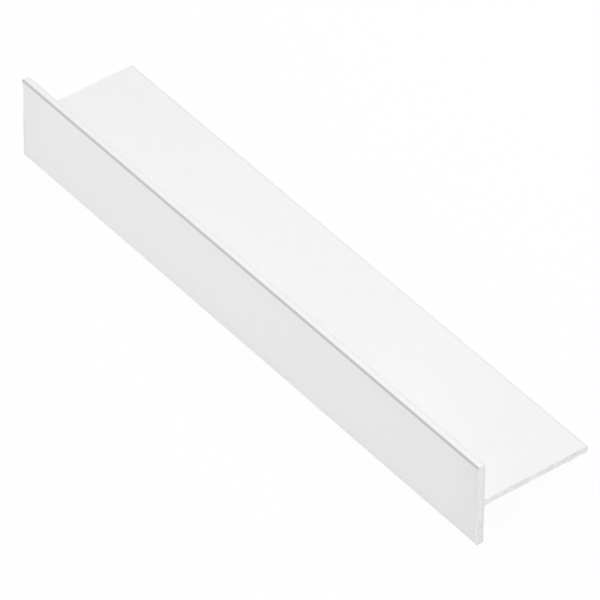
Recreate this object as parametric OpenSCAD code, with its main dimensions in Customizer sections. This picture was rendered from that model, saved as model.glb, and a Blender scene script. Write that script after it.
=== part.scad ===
// T-profile in white plastic: a short length of extruded trim.
// A flange forms the head of the T and a thinner web stands square on the middle of its back.
// The long axis is X, and Z is up from the floor that the piece lies on.
// The section is drawn with the flange upright and the web level, and is then leaned to its rest:
// unheld, the piece rolls back on to the flange's lower rear arris and the web's lower outer arris.

/* [Section] */

// Width of the flange, across the head of the T
flange_w = 18; // [12:0.5:40]

// Depth of the T, from the flange's outer face to the web's free edge
section_depth = 25; // [15:0.5:60]

// Wall of the flange
flange_wall = 1.8; // [1.2:0.1:4]

// Wall of the web
web_wall = 1.3; // [1:0.1:4]

/* [Edges] */

// Radius of the arrises that the die leaves along the piece
arris_r = 0.35; // [0.1:0.05:0.45]

// Radius of the fillets in the two inner corners, where the web meets the flange
fillet_r = 0.3; // [0.1:0.05:1.5]

/* [Length] */

// Length of the piece between its two sawn ends
piece_len = 134.5; // [20:0.5:2000]

/* [Hidden] */

// Facets of a full circle
$fn = 48;

// Underside of the web above the flange's lower edge: the web is centred on the flange
web_z = (flange_w - web_wall) / 2;

// Lean that brings the flange's lower rear arris and the web's lower outer arris to one level
lean = atan(web_z / (section_depth - flange_wall));

// Centres of the rounds that reach furthest once the section leans, as [depth, height]
foot = [flange_wall - arris_r, arris_r];
front_foot = [arris_r, arris_r];
web_tip = [section_depth - arris_r, web_z + web_wall - arris_r];

// Depth and height of a section point after the lean
function leaned_y(p) = p[0] * cos(lean) + p[1] * sin(lean);
function leaned_z(p) = p[1] * cos(lean) - p[0] * sin(lean);

// How far the leaned section reaches to the front and to the back, and how low it reaches
front_y = leaned_y(front_foot) - arris_r;
back_y = leaned_y(web_tip) + arris_r;
floor_z = leaned_z(foot) - arris_r;

// A flat wall with its four arrises rounded
module rounded_wall(depth, height) {
    translate([arris_r, 0])
        square([depth - 2 * arris_r, height]);
    translate([0, arris_r])
        square([depth, height - 2 * arris_r]);
    for (y = [arris_r, depth - arris_r], z = [arris_r, height - arris_r])
        translate([y, z])
            circle(arris_r);
}

// The fillet of an inner corner: side is 1 above the web and -1 below it
module corner_fillet(side) {
    mirror([0, side < 0 ? 1 : 0])
        difference() {
            square(fillet_r);
            translate([fillet_r, fillet_r])
                circle(fillet_r);
        }
}

// The whole section, with depth along x and height along y
module t_section() {
    // Flange
    rounded_wall(flange_wall, flange_w);
    // Web, rooted in the middle of the flange's wall
    translate([flange_wall / 2, web_z])
        rounded_wall(section_depth - flange_wall / 2, web_wall);
    // Fillets above and below the web
    translate([flange_wall, web_z + web_wall])
        corner_fillet(1);
    translate([flange_wall, web_z])
        corner_fillet(-1);
}

// The extruded piece, leaned to its rest and centred over the origin
module t_profile() {
    color("whitesmoke")
        translate([0, -(front_y + back_y) / 2, -floor_z])
            rotate([-lean, 0, 0])
                translate([-piece_len / 2, 0, 0])
                    rotate([90, 0, 90])
                        linear_extrude(piece_len)
                            t_section();
}

t_profile();
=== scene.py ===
# %% [markdown]
# # A short length of white T-profile
#
# The object is a sample of extruded trim: a flat flange, a thinner web that stands square on the middle
# of its back, and two sawn ends. Everything about it is plain, so the looks come from small things: how
# round the long edges are, what the saw left on the ends, and how a satin white plastic takes soft light.
#
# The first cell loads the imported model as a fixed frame. All that follows is in metres in that frame.

# %% Load the frame
import math

import bmesh
import bpy
from mathutils import Matrix, Vector


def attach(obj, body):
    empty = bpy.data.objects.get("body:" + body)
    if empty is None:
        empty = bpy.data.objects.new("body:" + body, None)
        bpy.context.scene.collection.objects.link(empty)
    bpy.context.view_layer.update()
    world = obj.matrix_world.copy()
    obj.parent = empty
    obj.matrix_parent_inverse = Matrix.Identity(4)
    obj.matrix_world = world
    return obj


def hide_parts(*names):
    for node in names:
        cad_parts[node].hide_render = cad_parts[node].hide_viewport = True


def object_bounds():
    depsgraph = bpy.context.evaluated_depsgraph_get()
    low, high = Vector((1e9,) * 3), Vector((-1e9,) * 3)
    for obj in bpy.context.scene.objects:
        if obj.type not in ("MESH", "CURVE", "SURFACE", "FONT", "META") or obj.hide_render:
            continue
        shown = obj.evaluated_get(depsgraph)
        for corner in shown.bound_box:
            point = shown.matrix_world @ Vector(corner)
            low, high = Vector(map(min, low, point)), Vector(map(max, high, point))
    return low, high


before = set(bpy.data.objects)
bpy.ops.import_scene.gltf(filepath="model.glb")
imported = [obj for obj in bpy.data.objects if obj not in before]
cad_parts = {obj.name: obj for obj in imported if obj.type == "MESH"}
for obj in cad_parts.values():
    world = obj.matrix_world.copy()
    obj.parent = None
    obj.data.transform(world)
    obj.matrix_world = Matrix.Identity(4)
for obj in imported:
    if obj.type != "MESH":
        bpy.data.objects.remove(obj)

NODE = "t_profile"
cad_low, cad_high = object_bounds()
print("the solid's box in mm:", [round(1000 * s, 2) for s in cad_high - cad_low])

# %% [markdown]
# ## The section's sizes
#
# The die gives the piece its section, so a few sizes say everything: the flange's width and wall, the
# web's wall and the depth over both. The length is read from the frame. "Section place" below means a
# point as x along the piece from its middle, y from the flange's outer face towards the web's free edge,
# and z from the flange's lower edge upwards.

# %% Sizes of the section
MM = 0.001
FLANGE_WIDTH = 18.0 * MM
SECTION_DEPTH = 25.0 * MM
FLANGE_WALL = 1.8 * MM
WEB_WALL = 1.3 * MM
ARRIS_RADIUS = 0.35 * MM
FILLET_RADIUS = 0.3 * MM
LENGTH = cad_high.x - cad_low.x

web_low = (FLANGE_WIDTH - WEB_WALL) / 2
web_high = web_low + WEB_WALL
mid_height = FLANGE_WIDTH / 2
print(f"length {LENGTH / MM:.1f} mm, web from {web_low / MM:.2f} to {web_high / MM:.2f} mm up the flange")

# %% [markdown]
# ## How the piece lies
#
# Let go on a table, a T-section can't stand on its flange's thin edge. It rolls back until the flange's
# lower rear arris and the web's free edge both touch. The lean is the slope between those two edges.
# Modelling is easier with the flange upright, so the shape is made that way and turned once, at the end,
# by this matrix.

# %% Lean of the section at rest
LEAN = math.atan(web_low / (SECTION_DEPTH - FLANGE_WALL))
lean_turn = Matrix.Rotation(-LEAN, 4, "X")


def leaned(depth, height):
    """Where a section point lands once the section leans, before it is set down."""
    return lean_turn @ Vector((0.0, depth, height))


foot = leaned(FLANGE_WALL - ARRIS_RADIUS, ARRIS_RADIUS)
front_foot = leaned(ARRIS_RADIUS, ARRIS_RADIUS)
set_down = Vector((
    (cad_low.x + cad_high.x) / 2,
    cad_low.y + ARRIS_RADIUS - front_foot.y,
    cad_low.z + ARRIS_RADIUS - foot.z,
))
to_rest = Matrix.Translation(set_down) @ lean_turn
print(f"lean {math.degrees(LEAN):.2f} degrees, set down by {[round(v / MM, 3) for v in set_down]} mm")

# %% [markdown]
# ## Camera
#
# The picture is taken with a long lens from well away, so the edges hardly converge. The view is given
# against the upright section, as an azimuth, an elevation and the point that the picture centres on, and
# is then turned with the piece. That keeps the same view of the same faces while the piece lies as it
# really would.

# %% Camera
LENS = 397.5
SENSOR = 36.0
CLIP_START = 0.05
CLIP_END = 20.0
VIEW_AZIMUTH = 52.53
VIEW_ELEVATION = 40.68
VIEW_DISTANCE = 1.1876
aim = Vector((5.594 * MM, 8.737 * MM, web_high))


def bearing(azimuth, elevation):
    """The direction to a place, in degrees: azimuth 0 is in front of the flange, 90 at the near end."""
    around = math.radians(azimuth)
    up = math.radians(elevation)
    level = math.cos(up)
    return Vector((math.sin(around) * level, -math.cos(around) * level, math.sin(up)))


towards_camera = bearing(VIEW_AZIMUTH, VIEW_ELEVATION)
upright_view = (-towards_camera).to_track_quat("-Z", "Y").to_matrix().to_4x4()
camera_data = bpy.data.cameras.new("camera")
camera_data.lens = LENS
camera_data.sensor_width = SENSOR
camera_data.clip_start = CLIP_START
camera_data.clip_end = CLIP_END
camera = bpy.data.objects.new("camera", camera_data)
bpy.context.scene.collection.objects.link(camera)
camera.matrix_world = to_rest @ Matrix.Translation(aim + VIEW_DISTANCE * towards_camera) @ upright_view
bpy.context.scene.camera = camera
print("camera at", [round(v, 3) for v in camera.matrix_world.translation])

# %% [markdown]
# ## Working in edit mode from code
#
# Blender's mesh tools act on whatever is selected. By hand you would click on a face; in code you say
# where it is or which way it points. These two helpers select faces or edges by a test, after clearing
# what was selected before.

# %% Helpers that select by place
def enter_edit(piece):
    """Makes one piece the only selected object and opens it in edit mode."""
    bpy.ops.object.select_all(action="DESELECT")
    piece.select_set(True)
    bpy.context.view_layer.objects.active = piece
    bpy.ops.object.mode_set(mode="EDIT")


def select_where(piece, kind, test):
    """Selects the faces or edges that pass a test, and returns how many there are."""
    bpy.ops.mesh.select_mode(type="FACE" if kind == "faces" else "EDGE")
    bpy.ops.mesh.select_all(action="DESELECT")
    mesh = bmesh.from_edit_mesh(piece.data)
    found = [part for part in getattr(mesh, kind) if not part.hide and test(part)]
    for part in found:
        part.select_set(True)
    bmesh.update_edit_mesh(piece.data)
    return len(found)


def middle(edge):
    """The middle of an edge."""
    return (edge.verts[0].co + edge.verts[1].co) / 2


# %% [markdown]
# ## The T from one block
#
# The real piece leaves the die whole, so the model grows from one block too. A cube is placed at the
# flange's size, a little longer than the finished piece. Two bisect cuts mark out a strip along its back,
# and extruding that strip makes the web. Nothing is joined, so there is no seam to hide.

# %% Flange blank and web
SAW_ALLOWANCE = 2.0 * MM
SQUARE_ON = 0.9
SAME_PLANE = math.radians(1.0)

bpy.ops.object.select_all(action="DESELECT")
bpy.ops.mesh.primitive_cube_add(
    size=1.0,
    location=(0.0, FLANGE_WALL / 2, mid_height),
    scale=(LENGTH + 2 * SAW_ALLOWANCE, FLANGE_WALL, FLANGE_WIDTH),
)
profile = bpy.context.active_object
profile.name = "white_t_profile"
profile.data.name = "white_t_profile"
bpy.ops.object.transform_apply(location=True, rotation=False, scale=True)

enter_edit(profile)
for height in (web_low, web_high):
    bpy.ops.mesh.select_all(action="SELECT")
    bpy.ops.mesh.bisect(plane_co=(0.0, 0.0, height), plane_no=(0.0, 0.0, 1.0))
strip = select_where(
    profile, "faces",
    lambda face: face.normal.y > SQUARE_ON and web_low < face.calc_center_median().z < web_high,
)
bpy.ops.mesh.extrude_region_move(
    TRANSFORM_OT_translate={"value": (0.0, SECTION_DEPTH - FLANGE_WALL, 0.0)}
)
bpy.ops.mesh.select_all(action="SELECT")
bpy.ops.mesh.dissolve_limited(angle_limit=SAME_PLANE)
print("web grown from", strip, "strip; faces now", len(bmesh.from_edit_mesh(profile.data).faces))

# %% [markdown]
# ## Arrises and fillets
#
# No die has knife-sharp corners. The outer long edges come out with a small radius, and the two inner
# corners where web meets flange have a fillet. A bevel with a few segments makes both: on an outward edge
# it rounds it off, and on an inward edge it fills it. The radii matter more than their size suggests,
# because every highlight runs along them.

# %% Round the long edges
ROUND_SEGMENTS = 6
CLOSE = 0.01 * MM
outer_corners = [
    (0.0, 0.0), (0.0, FLANGE_WIDTH), (FLANGE_WALL, 0.0), (FLANGE_WALL, FLANGE_WIDTH),
    (SECTION_DEPTH, web_low), (SECTION_DEPTH, web_high),
]
inner_corners = [(FLANGE_WALL, web_low), (FLANGE_WALL, web_high)]


def runs_along(edge, corners):
    """True for a long edge that passes through one of these corners of the section."""
    a, b = edge.verts
    at = middle(edge)
    is_long = abs(a.co.x - b.co.x) > LENGTH / 2
    return is_long and any(abs(at.y - y) + abs(at.z - z) < CLOSE for y, z in corners)


for corners, radius in ((outer_corners, ARRIS_RADIUS), (inner_corners, FILLET_RADIUS)):
    edges = select_where(profile, "edges", lambda edge: runs_along(edge, corners))
    bpy.ops.mesh.bevel(
        offset=radius, segments=ROUND_SEGMENTS, profile=0.5, affect="EDGES", clamp_overlap=False
    )
    print(f"rounded {edges} edges at {radius / MM} mm")

# %% [markdown]
# ## Sawn to length
#
# The sample was cut by saw, and a hand-guided cut is never quite square. Bisect with its outer side
# cleared does what the blade does: it takes away everything beyond a plane, and fill closes the cut. The
# far cut leans a little, so the piece is about half a millimetre longer along the flange's lower edge
# than along its upper one.

# %% Saw cuts
FAR_CUT_LEAN = 0.0326
FAR_CUT_SLEW = 0.0098
FAR_CUT_SHORT = 0.08 * MM
RIM_STEPS = ((0.02 * MM, 0.032 * MM), (0.05 * MM, 0.018 * MM))
RIM_HEIGHT = sum(rise for _, rise in RIM_STEPS)

section_middle = Vector((0.0, SECTION_DEPTH / 2, mid_height))
near_out = Vector((1.0, 0.0, 0.0))
far_out = Vector((-1.0, FAR_CUT_SLEW, FAR_CUT_LEAN)).normalized()
near_reach = LENGTH / 2 - RIM_HEIGHT
far_reach = near_reach - FAR_CUT_SHORT
cuts = {
    "near": (section_middle + Vector((near_reach, 0.0, 0.0)), near_out),
    "far": (section_middle - Vector((far_reach, 0.0, 0.0)), far_out),
}
for name, (point, outwards) in cuts.items():
    bpy.ops.mesh.select_all(action="SELECT")
    bpy.ops.mesh.bisect(plane_co=point, plane_no=outwards, use_fill=True, clear_outer=True)
    print(name, "end sawn; faces now", len(bmesh.from_edit_mesh(profile.data).faces))

# %% [markdown]
# ## Broken edges round the cut
#
# A saw leaves the rim of the cut slightly crushed and rounded. Two insets do that, and both also move the
# cut face outwards, up to the full length: first more outwards than inwards, then the other way round.
# That gives a rounded rim, less than a tenth of a millimetre wide.

# %% Rim of each cut
PARALLEL = 0.999
BIG_FACE = 1e-6


def end_of(place):
    """Which saw cut a point is nearest to, and how far inside its plane the point lies."""
    name = "near" if place.x > 0 else "far"
    point, outwards = cuts[name]
    return name, (point - place).dot(outwards)


def is_cut_face(face):
    """True for the big flat face that a saw cut left."""
    name, _ = end_of(face.calc_center_median())
    return face.normal.dot(cuts[name][1]) > PARALLEL and face.calc_area() > BIG_FACE


for width, rise in RIM_STEPS:
    found = select_where(profile, "faces", is_cut_face)
    bpy.ops.mesh.inset(thickness=width, depth=rise, use_boundary=True)
print("rims made on", found, "ends")

# %% [markdown]
# ## A grid where the saw's marks will be
#
# To carry relief, the ends need many small faces, and the rest of the piece needs none. Three rings of
# edges are cut close to each end, everything inboard of the innermost is hidden, and bisect planes then
# dice only what still shows. Hidden faces can't be selected, so the long flat faces stay whole and stay
# perfectly flat.

# %% Dice the ends
END_ZONE = 0.6 * MM
RING_DEPTHS = (0.6 * MM, 0.3 * MM, 0.12 * MM)
GRID = 0.12 * MM

for point, outwards in cuts.values():
    for depth in RING_DEPTHS:
        bpy.ops.mesh.select_all(action="SELECT")
        bpy.ops.mesh.bisect(plane_co=point - depth * outwards, plane_no=outwards)

select_where(profile, "faces", lambda face: end_of(face.calc_center_median())[1] < END_ZONE)
bpy.ops.mesh.hide(unselected=True)


def dice(axis, start, stop):
    """Bisects what shows by planes square to one axis, a grid step apart."""
    normal = Vector([1.0 if i == axis else 0.0 for i in range(3)])
    count = int((stop - start) / GRID)
    for k in range(count):
        bpy.ops.mesh.select_all(action="SELECT")
        bpy.ops.mesh.bisect(plane_co=(start + (k + 0.5) * GRID) * normal, plane_no=normal)
    return count


planes = dice(1, 0.0, SECTION_DEPTH) + dice(2, 0.0, FLANGE_WIDTH)
bpy.ops.mesh.reveal(select=False)
bpy.ops.object.mode_set(mode="OBJECT")
print(planes, "planes; faces now", len(profile.data.polygons))

# %% [markdown]
# ## Which faces get which finish
#
# The long faces keep the skin that the die gave them, and the cut faces with their rims show sawn
# plastic. They are told apart now, while the cuts are still flat and easy to select by place. Both
# materials are only named here; their recipes come later.

# %% Two finishes
SKIN = "extruded_white_vinyl"
SAWN = "sawn_white_vinyl"
CUT_FACE_DEPTH = 0.1 * RIM_HEIGHT

for finish in (SKIN, SAWN):
    profile.data.materials.append(bpy.data.materials.new(finish))
enter_edit(profile)
cut_faces = select_where(
    profile, "faces", lambda face: end_of(face.calc_center_median())[1] < CUT_FACE_DEPTH
)
profile.active_material_index = profile.data.materials.find(SAWN)
bpy.ops.object.material_slot_assign()
bpy.ops.object.mode_set(mode="OBJECT")
print(cut_faces, "faces of", len(profile.data.polygons), "are sawn")

# %% [markdown]
# ## Relief left by the saw
#
# A fine saw through stiff plastic leaves a slightly wavy face. A Displace modifier can push points by a
# texture, and a vertex group says how far each point may follow: all the way on the cut face, less than
# half way on its rim, and not at all on the long faces. It is applied at once, so the relief is real
# geometry.

# %% Sawn relief
RELIEF = 0.07 * MM
RELIEF_SCALE = 0.9 * MM


def weigh(piece, name, weight):
    """Adds a vertex group whose weights come from a function of place."""
    group = piece.vertex_groups.new(name=name)
    for vertex in piece.data.vertices:
        value = weight(vertex.co)
        if value > 0.0:
            group.add([vertex.index], min(1.0, value), "REPLACE")
    return group


def push(piece, group, amount, axis="X", texture=None):
    """Displaces a vertex group along one axis and applies it. With a texture the push goes both ways."""
    bpy.ops.object.modifier_add(type="DISPLACE")
    modifier = piece.modifiers[-1]
    modifier.direction = axis
    modifier.vertex_group = group.name
    modifier.strength = amount
    modifier.mid_level = 0.5 if texture else 0.0
    modifier.texture = texture
    bpy.ops.object.modifier_apply(modifier=modifier.name)
    piece.vertex_groups.clear()


def grain(name, scale, depth):
    """A cloud texture, whose lumps are about as large as its scale."""
    texture = bpy.data.textures.new(name, "CLOUDS")
    texture.noise_scale = scale
    texture.noise_depth = depth
    return texture


def sawn_weight(place):
    """One on the cut face, less on the rim's ridge and nothing elsewhere."""
    _, inside = end_of(place)
    return max(0.0, -inside / RIM_HEIGHT) ** 2


push(profile, weigh(profile, "sawn", sawn_weight), RELIEF, texture=grain("saw_relief", RELIEF_SCALE, 3))
print("sawn relief of", RELIEF / MM, "mm on both ends")

# %% [markdown]
# ## Small accidents of the saw
#
# No two sawn ends are alike, and a few small marks make these two belong to one real sample. At the near
# end, the blade tore the foot of the flange: it stands a little back there, its wall is thinner, a lip
# hangs from its edge, and a burr points out of its lower rear corner. The web is nicked on its rim and
# under its edge near the tip, and the tip's corners are rounded. At the far end, the flange's top corner
# and the web's tip stand out a little, the flange is slightly crowned, and the middle of the web is a
# little shorter. Each mark is a soft dent: a place, how far it reaches along the three axes, and a push.

# %% Dents and lips
NEAR = LENGTH / 2
FAR = -LENGTH / 2


def dent(name, place, reach, amount, axis="X", texture=None):
    """Pushes what lies near a place, and less towards the edge of its reach. Sizes are in millimetres."""
    def weight(point):
        steps = [(point[i] / MM - place[i]) / reach[i] for i in range(3)]
        away = math.sqrt(sum(step * step for step in steps))
        return (1.0 - away) ** 2 * (1.0 + 2.0 * away) if away < 1.0 else 0.0
    push(profile, weigh(profile, name, weight), amount * MM, axis, texture)
    print(f"{name}: {amount} mm along {axis}")


near_mm = NEAR / MM
far_mm = FAR / MM
dent("foot_back", (near_mm, 0.9, 2.5), (1.4, 4.0, 6.0), -0.10)
dent("foot_thin", (near_mm, 1.8, 1.7), (1.2, 1.2, 3.4), -0.08, "Y")
dent("torn_foot", (near_mm, 1.15, 2.6), (0.5, 1.0, 2.8), 0.34, "X", grain("torn", 0.42 * MM, 2))
dent("foot_lip", (near_mm, 0.5, 0.0), (0.5, 1.0, 0.5), -0.28, "Z")
dent("foot_burr", (near_mm, 1.4, 0.0), (0.5, 0.8, 0.5), 0.28, "X")
dent("thin_underside", (near_mm, 23.2, web_low / MM), (0.8, 1.5, 0.7), 0.10, "Z")
dent("notched_underside", (near_mm, 22.0, web_low / MM), (0.5, 0.4, 0.4), 0.12, "Z")
dent("round_tip", (near_mm, 25.0, mid_height / MM), (0.8, 0.9, 1.2), -0.07, "Y")
dent("tip_corner", (near_mm, 25.0, web_low / MM), (0.9, 0.6, 0.8), -0.10, "Y")
dent("nicked_rim", (near_mm, 22.3, 9.4), (0.4, 1.1, 0.4), -0.12, "X")
dent("far_corner", (far_mm, 0.6, 18.0), (1.2, 2.4, 2.2), -0.48, "X")
dent("far_crown", (far_mm, 0.9, 7.5), (1.5, 3.0, 6.0), -0.20, "X")
dent("far_web_short", (far_mm, 9.5, mid_height / MM), (1.6, 14.0, 6.0), 0.26, "X")
dent("far_tip", (far_mm, 25.0, mid_height / MM), (1.0, 1.6, 1.2), -0.12, "X")

# %% [markdown]
# ## A flake of burr
#
# A flake of burr also hangs under the web at the near end, a little short of its tip. It is a few of the
# small faces there, drawn down a fifth of a millimetre and a little outwards by extrude, and narrowed.

# %% Flake of burr
FACING_DOWN = -0.7
BURR_PLACE = 20.95 * MM
BURR_HALF_LENGTH = 0.4 * MM
BURR_WIDTH = 0.3 * MM
BURR_DROP = 0.20 * MM
BURR_OUTWARDS = 0.05 * MM
BURR_INBOARD = 0.1 * MM
BURR_NARROWING = (0.6, 0.35, 1.0)

enter_edit(profile)
flake = select_where(
    profile, "faces",
    lambda face: face.normal.z < FACING_DOWN
    and abs(face.calc_center_median().y - BURR_PLACE) < BURR_HALF_LENGTH
    and NEAR - BURR_WIDTH < face.calc_center_median().x,
)
bpy.ops.mesh.extrude_region_move(
    TRANSFORM_OT_translate={"value": (BURR_OUTWARDS, 0.0, -BURR_DROP)}
)
flake_middle = Vector((NEAR - BURR_INBOARD, BURR_PLACE, web_low - BURR_DROP))
bpy.ops.transform.resize(value=BURR_NARROWING, center_override=flake_middle)
bpy.ops.object.mode_set(mode="OBJECT")
print("flake drawn from", flake, "faces")

# %% [markdown]
# ## Laid down, and smoothed
#
# The finished shape is turned and set down by the matrix from the start, and the move is applied so that
# the object itself stays at the origin. Shading by angle smooths the small roundings. Weighted normals
# then let the large faces decide, so they stay dead flat right up to the roundings beside them.

# %% Lay the piece down
SMOOTH_ANGLE = math.radians(31.0)

profile.matrix_world = to_rest
bpy.ops.object.transform_apply(location=True, rotation=True, scale=True)
enter_edit(profile)
bpy.ops.mesh.select_all(action="SELECT")
bpy.ops.mesh.normals_make_consistent(inside=False)
bpy.ops.object.mode_set(mode="OBJECT")
bpy.ops.object.shade_smooth_by_angle(angle=SMOOTH_ANGLE)
bpy.ops.object.modifier_add(type="WEIGHTED_NORMAL")
profile.modifiers[-1].keep_sharp = True
bpy.ops.object.modifier_apply(modifier=profile.modifiers[-1].name)

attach(profile, "root")
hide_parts(NODE)
print("lowest point in mm:", round(min(v.co.z for v in profile.data.vertices) / MM, 3))

# %% [markdown]
# ## Wiring nodes from code
#
# A procedural material is a small net of nodes. These helpers place a node, feed its inputs with a number
# or another node's output, and do sums, so that the next cells can read like the recipe they are.

# %% Helpers for node trees
def put(tree, kind, **settings):
    """Adds a node and sets its options."""
    node = tree.nodes.new(kind)
    for name, value in settings.items():
        setattr(node, name, value)
    return node


def feed(tree, socket, value):
    """Links an output to a socket, or sets the socket's own value."""
    if isinstance(value, bpy.types.NodeSocket):
        tree.links.new(value, socket)
    else:
        socket.default_value = value


def sums(tree, operation, *values):
    """One Math node, such as ADD or MAXIMUM, over outputs and numbers."""
    node = put(tree, "ShaderNodeMath", operation=operation)
    for socket, value in zip(node.inputs, values):
        feed(tree, socket, value)
    return node.outputs[0]


def vector_sum(tree, operation, *values):
    """One Vector Math node that puts out a vector."""
    node = put(tree, "ShaderNodeVectorMath", operation=operation)
    for socket, value in zip(node.inputs, values):
        feed(tree, socket, value)
    return node.outputs["Vector"]


def ramp(tree, value, low, high, to_low=0.0, to_high=1.0):
    """A smooth step: to_low below low, to_high above high."""
    node = put(tree, "ShaderNodeMapRange", interpolation_type="SMOOTHSTEP")
    for socket, fed in zip(node.inputs, (value, low, high, to_low, to_high)):
        feed(tree, socket, fed)
    return node.outputs[0]


def noise(tree, place, scale, detail=2.0, roughness=0.5):
    """Noise between 0 and 1 over a place in millimetres."""
    node = put(tree, "ShaderNodeTexNoise")
    feed(tree, node.inputs["Vector"], place)
    feed(tree, node.inputs["Scale"], scale)
    feed(tree, node.inputs["Detail"], detail)
    feed(tree, node.inputs["Roughness"], roughness)
    return node.outputs["Fac"]


def new_group(name, inputs, outputs):
    """A shader node group with named sockets; returns the tree, its input node and its output node."""
    tree = bpy.data.node_groups.new(name, "ShaderNodeTree")
    for label, kind, value in inputs:
        socket = tree.interface.new_socket(label, in_out="INPUT", socket_type=kind)
        if value is not None:
            socket.default_value = value
    for label in outputs:
        tree.interface.new_socket(label, in_out="OUTPUT", socket_type="NodeSocketFloat")
    return tree, put(tree, "NodeGroupInput"), put(tree, "NodeGroupOutput")


FLOAT = "NodeSocketFloat"
VECTOR = "NodeSocketVector"

# %% [markdown]
# ## Knowing where the edges are
#
# The painted shade follows edges, so both finishes of the piece need to know how far a point is from
# them. The section is only two boxes and the ends are two planes, so each distance is a short sum. One
# node group puts out all of them in millimetres. The front top arris is measured by an ellipse, because
# its painted shade reaches a little further over the top than down the face. A second group turns a
# distance into a soft band, and a third makes a soft round spot at a place.

# %% Node groups: edge distances, a band and a spot
def split(tree, place):
    """The three parts of a place."""
    node = put(tree, "ShaderNodeSeparateXYZ")
    feed(tree, node.inputs[0], place)
    return node.outputs


def from_middle(tree, value, middle_mm, half_mm):
    """How far a value lies outside a span; negative inside it."""
    offset = sums(tree, "ABSOLUTE", sums(tree, "SUBTRACT", value, middle_mm))
    return sums(tree, "SUBTRACT", offset, half_mm)


def distance(tree, a, b):
    """Length of the step (a, b)."""
    squares = sums(tree, "ADD", sums(tree, "MULTIPLY", a, a), sums(tree, "MULTIPLY", b, b))
    return sums(tree, "SQRT", squares)


def plane_distance(tree, place, inwards, start_mm):
    """How far a place lies inside a plane."""
    node = put(tree, "ShaderNodeVectorMath", operation="DOT_PRODUCT")
    feed(tree, node.inputs[0], place)
    feed(tree, node.inputs[1], inwards)
    return sums(tree, "MAXIMUM", sums(tree, "ADD", node.outputs["Value"], start_mm), 0.0)


# The front top arris's painted shade reaches a little further over the top than down the face.
SHADE_DOWN_THE_FACE = 1.1
SHADE_OVER_THE_TOP = 0.98

half_flange = FLANGE_WIDTH / 2 / MM
half_wall = FLANGE_WALL / 2 / MM
half_web = WEB_WALL / 2 / MM
depth_mm = SECTION_DEPTH / MM

edge_distances, given, out = new_group(
    "edge_distances",
    [("Place", VECTOR, None)],
    ["Front top arris", "Other arrises", "Outline", "Near cut", "Far cut"],
)
place = given.outputs["Place"]
_, y, z = split(edge_distances, place)
across = from_middle(edge_distances, z, half_flange, half_flange)
thick = from_middle(edge_distances, y, half_wall, half_wall)
web_across = from_middle(edge_distances, z, half_flange, half_web)
web_along = from_middle(edge_distances, y, depth_mm / 2, depth_mm / 2)

below_top = sums(edge_distances, "SUBTRACT", 2 * half_flange, z)
below_top = sums(edge_distances, "MULTIPLY", below_top, SHADE_DOWN_THE_FACE)
behind_face = sums(edge_distances, "MULTIPLY", y, SHADE_OVER_THE_TOP)
feed(edge_distances, out.inputs["Front top arris"], distance(edge_distances, below_top, behind_face))

to_flange_edge = distance(edge_distances, across, thick)
to_web_edge = distance(edge_distances, web_across, sums(edge_distances, "SUBTRACT", y, depth_mm))
to_any_edge = sums(edge_distances, "MINIMUM", to_flange_edge, to_web_edge)
feed(edge_distances, out.inputs["Other arrises"], to_any_edge)

in_flange = sums(edge_distances, "MAXIMUM", across, thick)
in_web = sums(edge_distances, "MAXIMUM", web_across, web_along)
outside = sums(edge_distances, "MINIMUM", in_flange, in_web)
inside = sums(edge_distances, "MULTIPLY", outside, -1.0)
feed(edge_distances, out.inputs["Outline"], sums(edge_distances, "MAXIMUM", inside, 0.0))

near_start = LENGTH / 2 / MM
far_start = near_start - FAR_CUT_SHORT / MM + FAR_CUT_SLEW * depth_mm / 2 + FAR_CUT_LEAN * half_flange
near_gap = plane_distance(edge_distances, place, (-1.0, 0.0, 0.0), near_start)
far_gap = plane_distance(edge_distances, place, (1.0, -FAR_CUT_SLEW, -FAR_CUT_LEAN), far_start)
feed(edge_distances, out.inputs["Near cut"], near_gap)
feed(edge_distances, out.inputs["Far cut"], far_gap)

soft_band, given, out = new_group(
    "soft_band",
    [("Distance", FLOAT, 0.0), ("Centre", FLOAT, 0.0), ("Half width", FLOAT, 0.3)],
    ["Mask"],
)
off_centre = sums(soft_band, "SUBTRACT", given.outputs["Distance"], given.outputs["Centre"])
off_centre = sums(soft_band, "ABSOLUTE", off_centre)
half_width = given.outputs["Half width"]
feed(soft_band, out.inputs["Mask"], ramp(soft_band, off_centre, 0.0, half_width, 1.0, 0.0))

soft_spot, given, out = new_group(
    "soft_spot",
    [("Place", VECTOR, None), ("Centre", VECTOR, None), ("Reach", VECTOR, None)],
    ["Mask"],
)
step = vector_sum(soft_spot, "SUBTRACT", given.outputs["Place"], given.outputs["Centre"])
step = vector_sum(soft_spot, "DIVIDE", step, given.outputs["Reach"])
away = put(soft_spot, "ShaderNodeVectorMath", operation="LENGTH")
feed(soft_spot, away.inputs[0], step)
feed(soft_spot, out.inputs["Mask"], ramp(soft_spot, away.outputs["Value"], 0.0, 1.0, 1.0, 0.0))
print("edge distances built from", len(edge_distances.nodes), "nodes")

# %% [markdown]
# ## Clouding and die lines
#
# Two more effects are shared. Clouding is the faint unevenness of a pale filled plastic, a percent or so.
# Die lines are the hair-fine lines that an extrusion carries along its whole length, wherever the die's
# land had a mark. For those, noise is stretched hugely along the piece, so it hardly changes in that
# direction and varies quickly across.

# %% Node groups: clouding and die lines
FINE_TO_BROAD = 6.0
BROAD_SHARE = 0.45
FINE_SHARE = 0.55
CONTRAST = 4.0
DIE_LINE_STRETCH = 0.006
COARSE_TO_FINE = 0.2
FINE_LINE_SHARE = 0.4

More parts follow.
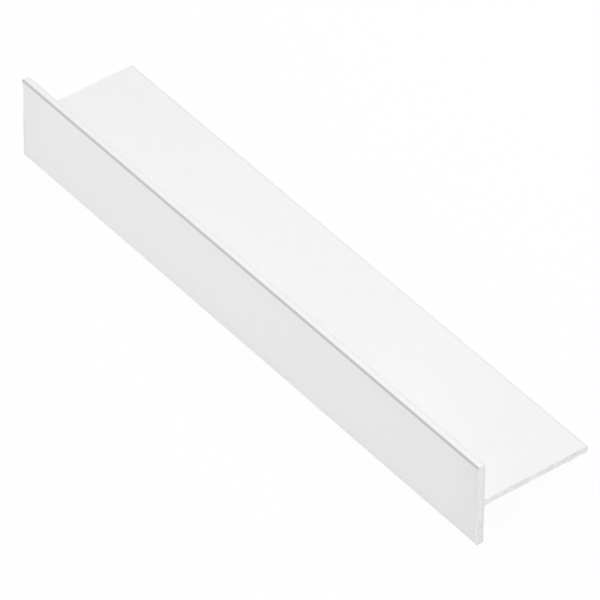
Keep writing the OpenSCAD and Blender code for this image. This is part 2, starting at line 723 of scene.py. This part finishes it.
clouding, given, out = new_group(
    "clouding",
    [("Place", VECTOR, None), ("Scale", FLOAT, 0.25), ("Amount", FLOAT, 0.01)],
    ["Tone"],
)
fine_scale = sums(clouding, "MULTIPLY", given.outputs["Scale"], FINE_TO_BROAD)
broad = noise(clouding, given.outputs["Place"], given.outputs["Scale"], detail=3.0, roughness=0.55)
fine = noise(clouding, given.outputs["Place"], fine_scale)
broad = sums(clouding, "MULTIPLY", broad, BROAD_SHARE)
fine = sums(clouding, "MULTIPLY", fine, FINE_SHARE)
centred = sums(clouding, "SUBTRACT", sums(clouding, "ADD", broad, fine), 0.5)
centred = sums(clouding, "MULTIPLY", centred, CONTRAST)
tone = sums(clouding, "ADD", sums(clouding, "MULTIPLY", centred, given.outputs["Amount"]), 1.0)
feed(clouding, out.inputs["Tone"], tone)

die_lines, given, out = new_group(
    "die_lines",
    [("Place", VECTOR, None), ("Lines per mm", FLOAT, 2.5)],
    ["Height"],
)
stretch = put(die_lines, "ShaderNodeMapping")
stretch.inputs["Scale"].default_value = (DIE_LINE_STRETCH, 1.0, 1.0)
feed(die_lines, stretch.inputs["Vector"], given.outputs["Place"])
coarse_scale = sums(die_lines, "MULTIPLY", given.outputs["Lines per mm"], COARSE_TO_FINE)
coarse_lines = noise(die_lines, stretch.outputs[0], coarse_scale)
fine_scale = given.outputs["Lines per mm"]
fine_lines = noise(die_lines, stretch.outputs[0], fine_scale, detail=3.0, roughness=0.6)
fine_lines = sums(die_lines, "MULTIPLY", fine_lines, FINE_LINE_SHARE)
height = sums(die_lines, "ADD", coarse_lines, fine_lines)
feed(die_lines, out.inputs["Height"], height)
print("clouding and die lines built")

# %% [markdown]
# ## Words for both finishes
#
# Both finishes are put together from the same few phrases: section places, a band, a mask that fades with
# a value, masks added up, and a tone raised by a share. The Mapping node turns Object coordinates back
# into section places in millimetres, so every pattern knows where on the section it is. A mask of 1 gives
# the grey used for both wear and painted shade, and a tone of 1 leaves a colour as it is.

# %% Helpers for both finishes
# A grey that the masks mix in: for dull and torn sawn plastic, and for painted shade on the skin.
WEAR_AND_SHADE_GREY = (0.55, 0.55, 0.55, 1.0)
VINYL_IOR = 1.53


def section_places(tree):
    """Object coordinates turned into section places in millimetres."""
    coordinates = put(tree, "ShaderNodeTexCoord")
    mapping = put(tree, "ShaderNodeMapping", vector_type="POINT")
    mapping.inputs["Scale"].default_value = (1 / MM, 1 / MM, 1 / MM)
    mapping.inputs["Rotation"].default_value = (LEAN, 0.0, 0.0)
    mapping.inputs["Location"].default_value = -(lean_turn.inverted() @ set_down) / MM
    feed(tree, mapping.inputs["Vector"], coordinates.outputs["Object"])
    return mapping.outputs[0]


def open_material(name):
    """Turns on a material's nodes: its tree, its Principled shader, and section places to build on."""
    material = bpy.data.materials[name]
    material.use_nodes = True
    tree = material.node_tree
    return tree, tree.nodes["Principled BSDF"], section_places(tree)


def use_group(tree, group, **values):
    """Places a node group and feeds its inputs; underscores stand for spaces."""
    node = put(tree, "ShaderNodeGroup", node_tree=group)
    for label, value in values.items():
        feed(tree, node.inputs[label.replace("_", " ")], value)
    return node.outputs


def band(tree, value, centre, half_width, strength):
    """A soft band round one value of a distance, as a mask of a given strength."""
    mask = use_group(tree, soft_band, Distance=value, Centre=centre, Half_width=half_width)["Mask"]
    return sums(tree, "MULTIPLY", mask, strength)


def faded(tree, mask, value, low, high, to_low=0.0, to_high=1.0):
    """A mask times a ramp over some value."""
    return sums(tree, "MULTIPLY", mask, ramp(tree, value, low, high, to_low, to_high))


def added(tree, mask, *others):
    """Masks added up."""
    for other in others:
        mask = sums(tree, "ADD", mask, other)
    return mask


def raised(tree, tone, share):
    """A tone raised by a share of itself, or lowered where the share is negative."""
    return sums(tree, "MULTIPLY", tone, sums(tree, "ADD", share, 1.0))


def mix_colour(tree, factor, a, b, blend="MIX"):
    """One colour mix. Sockets 6, 7 and 2 are the node's two colours and its result."""
    node = put(tree, "ShaderNodeMix", data_type="RGBA", blend_type=blend)
    feed(tree, node.inputs["Factor"], factor)
    feed(tree, node.inputs[6], a)
    feed(tree, node.inputs[7], b)
    return node.outputs[2]


def colour_by(tree, shader, white, greyed, tone):
    """Feeds the base colour: a white, greyed by a mask and evened by a tone."""
    base = mix_colour(tree, greyed, white, WEAR_AND_SHADE_GREY)
    grey = put(tree, "ShaderNodeCombineColor")
    for channel in grey.inputs[:3]:
        feed(tree, channel, tone)
    feed(tree, shader.inputs["Base Color"], mix_colour(tree, 1.0, base, grey.outputs[0], "MULTIPLY"))


def surface_by(tree, shader, height, roughness, strength, relief):
    """Sets how a surface takes light: its roughness, its IOR, and a bump whose relief is in metres."""
    feed(tree, shader.inputs["Roughness"], roughness)
    bump = put(tree, "ShaderNodeBump")
    bump.inputs["Strength"].default_value = strength
    bump.inputs["Distance"].default_value = relief
    feed(tree, bump.inputs["Height"], height)
    feed(tree, shader.inputs["Normal"], bump.outputs[0])
    shader.inputs["IOR"].default_value = VINYL_IOR


# %% [markdown]
# ## The skin, with painted shade
#
# Rigid white vinyl leaves the die nearly white. A grey line of painted shade runs along the front top
# arris, the darkest mark on the skin. The other arrises carry a slighter painted shade, and so do two
# lines, low on the face and just inside the web's free edge. Patches of noise keep the shade from looking
# drawn.
#
# The rest is painted shade as well. On the face it shows as a faint band under the top arris, a faint
# patch low on the middle, and the last millimetres before each cut. On the web it is a slanting patch at
# the near end.

# %% Material: painted shade on the skin
# Each band: its middle, its half width, both in millimetres, and its strength
ARRIS_BAND = (0.28, 0.31, 0.20)
LOW_LINE = (0.85, 0.45, 0.06)
WEB_LINE = (24.40, 0.30, 0.07)
UNDER_ARRIS = (16.6, 1.6, 0.042)
LOW_PATCH = (1.7, 2.4, 0.030)
MIDDLE_PART = (0.0, 42.0, 1.0)
NEAR_RIM = (0.38, 0.50, 0.09)
FAR_RIM = (0.50, 0.65, 0.10)
# Each ramp: two values, and what it gives up to the first and from the second
TOP_ARRIS_SHADE = (0.22, 0.50, 1.0, 0.0)
NONE_AT_FOOT = (1.0, 3.0)
MORE_ON_FLANGE = (2.0, 3.0, 1.2, 1.0)
ARRIS_PATCHES = (0.35, 0.65, 0.75, 1.25)
ON_FACE = (0.1, 0.3, 1.0, 0.0)
ON_WEB = (2.0, 3.0)
LESS_AT_FAR_END = (-55.0, -10.0, 0.2, 1.0)
NEAR_RIM_UPWARDS = (2.0, 12.0, 0.3, 1.1)
NEAR_RIM_PATCHES = (0.35, 0.60, 0.3, 1.3)
FAR_RIM_UPWARDS = (8.5, 11.0, 1.0, 0.0)
FAR_RIM_PATCHES = (0.35, 0.60, 0.4, 1.7)
NEAR_END_SHADE = (1.5, 9.0, 0.07, 0.0)
FAR_END_SHADE = (1.0, 9.0, 0.05, 0.0)
WEB_SHADE_RAMP = (-4.0, 5.0, 0.027, 0.0)
WEB_SLANT = 0.9
ARRIS_PATCH_SCALE = 0.7
RIM_PATCH_SCALE = 0.9

tree, shader, place = open_material(SKIN)
to = use_group(tree, edge_distances, Place=place)
x, y, z = split(tree, place)
# Painted shade: a grey line along the front top arris, the strongest greying on the skin.
arris_shade = ramp(tree, to["Front top arris"], *TOP_ARRIS_SHADE)
# Painted shade, slighter: bands along the other arrises, low on the face and inside the web's free edge.
rounded = band(tree, to["Other arrises"], *ARRIS_BAND)
rounded = faded(tree, rounded, z, *NONE_AT_FOOT)
rounded = faded(tree, rounded, y, *MORE_ON_FLANGE)
rounded = faded(tree, rounded, noise(tree, place, ARRIS_PATCH_SCALE), *ARRIS_PATCHES)
rounded = added(tree, rounded, band(tree, z, *LOW_LINE), band(tree, y, *WEB_LINE))

# Painted shade on the face: bands at both cut rims, the last millimetres before each cut, a band under
# the top arris and a low patch; and on the web a slanting patch near the near end.
patches = noise(tree, place, RIM_PATCH_SCALE)
near_rim = band(tree, to["Near cut"], *NEAR_RIM)
near_rim = faded(tree, near_rim, z, *NEAR_RIM_UPWARDS)
near_rim = faded(tree, near_rim, patches, *NEAR_RIM_PATCHES)
far_rim = band(tree, to["Far cut"], *FAR_RIM)
far_rim = faded(tree, far_rim, z, *FAR_RIM_UPWARDS)
far_rim = faded(tree, far_rim, patches, *FAR_RIM_PATCHES)
shade_near_end = ramp(tree, to["Near cut"], *NEAR_END_SHADE)
shade_far_end = ramp(tree, to["Far cut"], *FAR_END_SHADE)
under_arris = faded(tree, band(tree, z, *UNDER_ARRIS), x, *LESS_AT_FAR_END)
low_patch = sums(tree, "MULTIPLY", band(tree, z, *LOW_PATCH), band(tree, x, *MIDDLE_PART))
painted_face_shade = added(tree, near_rim, far_rim, shade_near_end, shade_far_end, under_arris, low_patch)
painted_face_shade = faded(tree, painted_face_shade, y, *ON_FACE)

on_web = ramp(tree, y, *ON_WEB)
slanted = sums(tree, "SUBTRACT", to["Near cut"], sums(tree, "MULTIPLY", y, WEB_SLANT))
web_shade = sums(tree, "MULTIPLY", ramp(tree, slanted, *WEB_SHADE_RAMP), on_web)
greyed = sums(tree, "MAXIMUM", arris_shade, added(tree, rounded, painted_face_shade, web_shade))

# %% [markdown]
# ## The skin's tone and sheen
#
# A faint clouding runs through the tone. A painted highlight lightens the web just inboard of its shaded
# patch, the painted shade on the front arris darkens a little towards the near end, and a small painted
# highlight whitens the flange's top corner at the near end. The sheen is soft and broad, and the die
# lines break it up: they change both the roughness and the normal.

# %% Material: tone, painted highlights and sheen of the skin
SKIN_WHITE = (0.88, 0.88, 0.878, 1.0)
SKIN_CLOUD_SCALE = 0.45
SKIN_CLOUD_AMOUNT = 0.020
HIGHLIGHT_PLACE = (near_mm - 0.32, 0.85, FLANGE_WIDTH / MM)
HIGHLIGHT_REACH = (0.50, 0.55, 0.50)
HIGHLIGHT_LIFT = 0.10
ARRIS_SHADE_ALONG = (0.0, LENGTH / MM, -0.04, 0.015)
WEB_HIGHLIGHT_BAND = (20.5, 17.0, 0.016)
LESS_AT_TIP = (8.0, 23.0, 1.0, 0.4)
DIE_LINES_PER_MM = 2.5
LINES_TO_ROUGHNESS = (0.3, 1.1, 0.34, 0.46)
DIE_LINE_STRENGTH = 0.35
DIE_LINE_DEPTH = 0.012 * MM

tone = use_group(tree, clouding, Place=place, Scale=SKIN_CLOUD_SCALE, Amount=SKIN_CLOUD_AMOUNT)["Tone"]
# Painted highlight: a pale spot on the flange's top corner at the near end.
corner_highlight = use_group(tree, soft_spot, Place=place, Centre=HIGHLIGHT_PLACE, Reach=HIGHLIGHT_REACH)["Mask"]
tone = raised(tree, tone, sums(tree, "MULTIPLY", corner_highlight, HIGHLIGHT_LIFT))
# Painted shade on the front arris, a little deeper towards the near end.
tone = raised(tree, tone, faded(tree, arris_shade, to["Near cut"], *ARRIS_SHADE_ALONG))
# Painted highlight: the web lightened in a slanting band inboard of its shaded patch.
web_highlight = sums(tree, "MULTIPLY", band(tree, slanted, *WEB_HIGHLIGHT_BAND), on_web)
tone = raised(tree, tone, faded(tree, web_highlight, y, *LESS_AT_TIP))
colour_by(tree, shader, SKIN_WHITE, greyed, tone)

lines = use_group(tree, die_lines, Place=place, Lines_per_mm=DIE_LINES_PER_MM)["Height"]
roughness = ramp(tree, lines, *LINES_TO_ROUGHNESS)
surface_by(tree, shader, lines, roughness, DIE_LINE_STRENGTH, DIE_LINE_DEPTH)
print("extruded skin:", len(tree.nodes), "nodes")

# %% [markdown]
# ## The sawn ends
#
# Where the plastic tore on the near end, dark strands lie between pale ones, and each strand is one soft
# spot. The dark ones are tear marks with painted shade in the tears, and some pale ones, low on the
# flange, are painted light. The dark ones are in four places: the torn foot of the flange, the middle of
# the web, its tip, and the flange's top, where the painted shade of the front arris wraps a little way
# onto the end.

# %% Strands on the near end
# Each strand: its place and its reach as (y, z) in millimetres, and its strength
FOOT_STRANDS = (
    ((0.72, 4.0), (0.36, 1.4), 0.15),
    ((0.38, 3.5), (0.30, 0.5), 0.30),
    ((1.24, 3.9), (0.38, 1.5), 0.15),
    ((0.64, 2.05), (0.28, 0.42), 0.32),
    ((0.80, 0.8), (0.24, 0.3), 0.08),
)
MID_STRANDS = (
    ((6.5, 9.2), (0.60, 0.50), 0.14),
    ((8.9, 9.3), (0.80, 0.40), 0.10),
    ((11.3, 9.3), (0.60, 0.40), 0.11),
    ((14.1, 9.1), (0.50, 0.50), 0.08),
    ((19.5, 9.2), (1.10, 0.50), 0.16),
)
TOP_STRANDS = (
    ((0.20, 17.9), (0.50, 0.45), 0.55),
    ((0.68, 17.8), (0.34, 0.50), 0.36),
)
TIP_STRANDS = (
    ((19.9, 9.32), (0.8, 0.34), 0.28),
    ((20.9, 9.55), (0.7, 0.22), 0.20),
    ((22.0, 9.20), (0.9, 0.45), 0.42),
    ((23.0, 9.40), (0.7, 0.30), 0.30),
    ((21.0, 8.80), (0.5, 0.22), 0.26),
    ((24.4, 9.50), (0.5, 0.35), 0.28),
)
# Pale strands lift the tone: paler torn plastic, and in the first ones, low on the flange, painted light.
PALE_AND_LIT_STRANDS = (
    ((0.15, 3.6), (0.44, 4.2), 1.6),
    ((1.00, 2.9), (0.40, 0.7), 1.7),
    ((1.08, 1.8), (0.40, 0.5), 2.0),
    ((0.26, 1.1), (0.46, 1.0), 3.4),
    ((0.74, 1.3), (0.30, 0.35), 2.6),
    ((1.20, 0.7), (0.35, 0.40), 2.6),
    ((0.15, 9.0), (0.35, 1.2), 0.8),
    ((0.30, 14.6), (0.40, 5.0), 0.4),
    ((1.15, 17.7), (0.35, 0.6), 1.8),
    ((2.8, 9.2), (1.8, 0.8), 1.2),
    ((5.3, 9.35), (1.3, 0.60), 1.6),
    ((7.8, 8.95), (1.0, 0.55), 1.7),
    ((12.8, 9.1), (1.7, 0.70), 1.5),
    ((14.9, 9.3), (0.6, 0.50), 0.8),
    ((17.8, 9.2), (1.0, 0.55), 1.3),
    ((20.8, 9.15), (0.45, 0.40), 1.8),
    ((23.6, 9.1), (1.3, 0.50), 1.5),
)
STRAND_DEPTH = 1.5


def strands(tree, place, marks):
    """One mask from many soft spots on the near end: the strongest of them at each place."""
    strongest = 0.0
    for centre, reach, strength in marks:
        centre = (near_mm, *centre)
        reach = (STRAND_DEPTH, *reach)
        spot = use_group(tree, soft_spot, Place=place, Centre=centre, Reach=reach)["Mask"]
        strongest = sums(tree, "MAXIMUM", strongest, sums(tree, "MULTIPLY", spot, strength))
    return strongest


# %% [markdown]
# ## The sawn plastic
#
# Under its skin the plastic is whiter, but a cut face is duller, and it keeps the teeth's path as fine
# lines. The blade passed down through the piece, so its marks are noise stretched along the height, in
# the colour as well as in the relief. The rims carry painted shade: a band along them is a little darker.
# The web and the foot were cut most roughly, so pale and dark flecks are strongest there.

# %% Material: sawn plastic
SAWN_WHITE = (0.92, 0.92, 0.918, 1.0)
SAWN_GREY = 0.075
SAWN_CLOUD_SCALE = 0.9
SAWN_CLOUD_AMOUNT = 0.012
# Each band: its middle, its half width, both in millimetres, and its strength
RIM_SHADE_BAND = (0.38, 0.34, 0.15)
FRONT_RIM = (0.08, 0.36, 0.12)
# Each ramp: two values, and what it gives up to the first and from the second
AT_THE_REAR = (0.6, 1.1)
ON_FLANGE = (1.7, 2.1, 1.0, 0.0)
UPPER_HALF = (8.7, 9.2)
LESS_AT_TOP = (16.2, 17.2, 1.0, 0.2)
LESS_AT_FOOT = (0.8, 1.8, 0.2, 1.0)
CLEAR_OF_FOOT = (6.0, 10.0)
TORN_PATCHES = (0.38, 0.62, 0.35, 1.55)
TEETH_TO_TONE = (0.3, 0.7, 0.97, 1.025)
TEETH_TO_ROUGHNESS = (0.3, 0.7, 0.5, 0.68)
FLECKS = (0.3, 0.7, -0.045, 0.045)
COARSE_ON_WEB = (1.7, 2.2, 0.3, 1.0)
COARSE_ON_FOOT = (3.0, 7.0, 1.0, 0.3)
TORN_SCALE = 6.0
FLECK_SCALE = 1.6
TEETH_SCALE = 5.0
TEETH_LEAN = math.radians(12.0)
TEETH_STRETCH = 0.12
TEETH_STRENGTH = 0.6
TEETH_DEPTH = 0.03 * MM
PALE_AND_LIT_LIFT = 0.02

tree, shader, place = open_material(SAWN)
to = use_group(tree, edge_distances, Place=place)
_, y, z = split(tree, place)
# Painted shade: a darker band along the rims of the cut, and one along its front edge.
rim_shade = band(tree, to["Outline"], *RIM_SHADE_BAND)
rim_shade = faded(tree, rim_shade, y, *AT_THE_REAR)
flange_or_top = sums(tree, "MAXIMUM", ramp(tree, y, *ON_FLANGE), ramp(tree, z, *UPPER_HALF))
rim_shade = sums(tree, "MULTIPLY", rim_shade, flange_or_top)
rim_shade = faded(tree, rim_shade, z, *LESS_AT_TOP)
rim_shade = faded(tree, rim_shade, z, *LESS_AT_FOOT)
front_rim = faded(tree, band(tree, y, *FRONT_RIM), z, *CLEAR_OF_FOOT)

# Dark strands: tear marks with painted shade in the tears; the top ones carry on the front arris's
# painted shade.
torn = strands(tree, place, FOOT_STRANDS + MID_STRANDS + TIP_STRANDS + TOP_STRANDS)
torn = faded(tree, torn, noise(tree, place, TORN_SCALE, detail=3.0), *TORN_PATCHES)
# Pale strands: paler torn plastic, and low on the flange painted light that lifts the shading there.
pale_and_lit = strands(tree, place, PALE_AND_LIT_STRANDS)
dull = sums(tree, "MULTIPLY", sums(tree, "SUBTRACT", 1.0, pale_and_lit), SAWN_GREY)
greyed = added(tree, dull, rim_shade, front_rim, torn)

teeth = put(tree, "ShaderNodeMapping")
teeth.inputs["Rotation"].default_value = (TEETH_LEAN, 0.0, 0.0)
teeth.inputs["Scale"].default_value = (1.0, 1.0, TEETH_STRETCH)
feed(tree, teeth.inputs["Vector"], place)
marks = noise(tree, teeth.outputs[0], TEETH_SCALE, detail=4.0, roughness=0.6)
tone = use_group(tree, clouding, Place=place, Scale=SAWN_CLOUD_SCALE, Amount=SAWN_CLOUD_AMOUNT)["Tone"]
tone = faded(tree, tone, marks, *TEETH_TO_TONE)
tone = raised(tree, tone, sums(tree, "MULTIPLY", pale_and_lit, PALE_AND_LIT_LIFT))
flecks = ramp(tree, noise(tree, place, FLECK_SCALE, detail=3.0, roughness=0.6), *FLECKS)
coarse_cut = sums(tree, "MAXIMUM", ramp(tree, y, *COARSE_ON_WEB), ramp(tree, z, *COARSE_ON_FOOT))
tone = raised(tree, tone, sums(tree, "MULTIPLY", flecks, coarse_cut))
colour_by(tree, shader, SAWN_WHITE, greyed, tone)

roughness = ramp(tree, marks, *TEETH_TO_ROUGHNESS)
surface_by(tree, shader, marks, roughness, TEETH_STRENGTH, TEETH_DEPTH)
print("sawn plastic:", len(tree.nodes), "nodes")

# %% [markdown]
# ## Floor
#
# The piece lies on plain white paper that runs out of sight. A surface that is only diffuse would print
# as a pale grey, so for camera, glossy and transmission rays most of it is an even white glow. The rest
# still takes light, which keeps the faint shadow that holds the piece to the ground.

# %% Floor
FLOOR_SIDE = 6.0
FLOOR_GLOW = 0.96
PAPER_WHITE = (0.9, 0.9, 0.9, 1.0)


def seen_directly(tree):
    """One for camera, glossy and transmission rays, which should see a white background."""
    rays = put(tree, "ShaderNodeLightPath").outputs
    first = sums(tree, "MAXIMUM", rays["Is Camera Ray"], rays["Is Glossy Ray"])
    return sums(tree, "MAXIMUM", first, rays["Is Transmission Ray"])


bpy.ops.object.select_all(action="DESELECT")
bpy.ops.mesh.primitive_plane_add(size=FLOOR_SIDE)
floor = bpy.context.active_object
floor.name = "white_paper_floor"
paper = bpy.data.materials.new("white_paper")
paper.use_nodes = True
tree = paper.node_tree
tree.nodes.remove(tree.nodes["Principled BSDF"])
lit = put(tree, "ShaderNodeBsdfDiffuse")
lit.inputs["Color"].default_value = PAPER_WHITE
glow = put(tree, "ShaderNodeEmission")
mixed = put(tree, "ShaderNodeMixShader")
feed(tree, mixed.inputs[0], sums(tree, "MULTIPLY", seen_directly(tree), FLOOR_GLOW))
feed(tree, mixed.inputs[1], lit.outputs[0])
feed(tree, mixed.inputs[2], glow.outputs[0])
feed(tree, tree.nodes["Material Output"].inputs["Surface"], mixed.outputs[0])
floor.data.materials.append(paper)
print("floor", FLOOR_SIDE, "m across")

# %% [markdown]
# ## Light
#
# White on white needs very even light, or it clips. More than half of it comes from all round, as in a
# light tent. Three soft lamps shape the rest: a high one behind, which makes the web's upper face the
# brightest, one beyond the near end, and a low one in front for the flange's face. Nothing shines from
# the camera's own side, so the arrises that face it stay a little darker than the faces beside them, and
# draw the outline. A lamp's level is the brightness that it alone gives a white surface that faces it.

# %% Lamps and surroundings
SURROUNDINGS = 0.57
# Each lamp: its name, azimuth and elevation in degrees, distance and side in metres, and level
LAMPS = (
    ("lamp_behind", 190, 55, 0.30, 0.15, 0.337),
    ("lamp_near_end", 90, 40, 0.60, 0.35, 0.203),
    ("lamp_low_front", 345, 20, 0.30, 0.15, 0.202),
)


def softbox(name, azimuth, elevation, away, side, level):
    """A square area lamp that faces the piece."""
    direction = bearing(azimuth, elevation)
    data = bpy.data.lights.new(name, "AREA")
    data.shape = "SQUARE"
    data.size = side
    data.energy = level * (math.pi * away) ** 2
    lamp = bpy.data.objects.new(name, data)
    bpy.context.scene.collection.objects.link(lamp)
    facing = direction.to_track_quat("Z", "Y").to_matrix().to_4x4()
    lamp.matrix_world = Matrix.Translation(direction * away) @ facing


for lamp in LAMPS:
    softbox(*lamp)

world = bpy.data.worlds.new("studio")
world.use_nodes = True
bpy.context.scene.world = world
tree = world.node_tree
surround = tree.nodes["Background"]
surround.inputs["Color"].default_value = (1.0, 1.0, 1.0, 1.0)
strength = put(tree, "ShaderNodeMapRange")
for socket, value in zip(strength.inputs, (seen_directly(tree), 0.0, 1.0, SURROUNDINGS, 1.0)):
    feed(tree, socket, value)
feed(tree, surround.inputs["Strength"], strength.outputs[0])
bpy.context.scene.view_settings.view_transform = "Standard"
